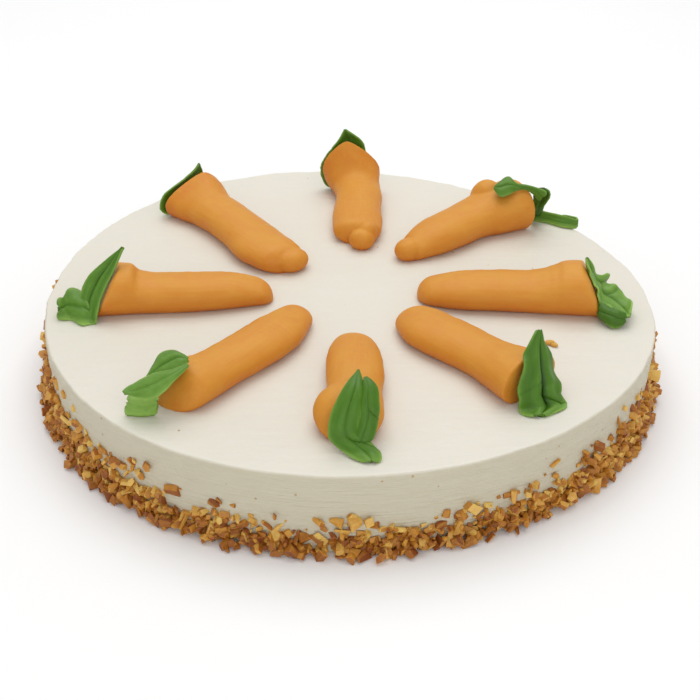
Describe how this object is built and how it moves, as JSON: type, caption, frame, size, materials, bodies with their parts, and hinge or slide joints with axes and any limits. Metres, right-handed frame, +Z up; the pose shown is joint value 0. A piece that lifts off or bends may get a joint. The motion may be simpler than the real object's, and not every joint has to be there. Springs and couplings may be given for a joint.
{
  "type": "carrot cake",
  "caption": "Round cream-coated carrot cake with chopped nuts round its foot and piped carrots with leaves laid like spokes on top.",
  "frame": {"origin": "middle of the flat underside", "axes": "+Z up out of the cake's top, -Y towards whoever looks at it from the front"},
  "size_m": [0.2679, 0.2681, 0.069],
  "materials": {
    "cream": "smooth spread cream, soft satin",
    "carrot_icing": "piped icing, soft satin",
    "leaf_icing": "piped icing, soft satin",
    "nuts": "toasted chopped nuts, matte",
    "sponge": "open baked crumb, matte"
  },
  "bodies": {
    "root": {"cake": "cream", "carrot_north": "carrot_icing", "carrot_north_east": "carrot_icing", "carrot_east": "carrot_icing", "carrot_south_east": "carrot_icing", "carrot_south": "carrot_icing", "carrot_south_west": "carrot_icing", "carrot_west": "carrot_icing", "carrot_north_west": "carrot_icing", "leaf_north": "leaf_icing", "leaf_north_east": "leaf_icing", "leaf_east": "leaf_icing", "leaf_south_east": "leaf_icing", "leaf_south": "leaf_icing", "leaf_south_west": "leaf_icing", "leaf_west": "leaf_icing", "leaf_north_west": "leaf_icing"}
  },
  "joints": []
}
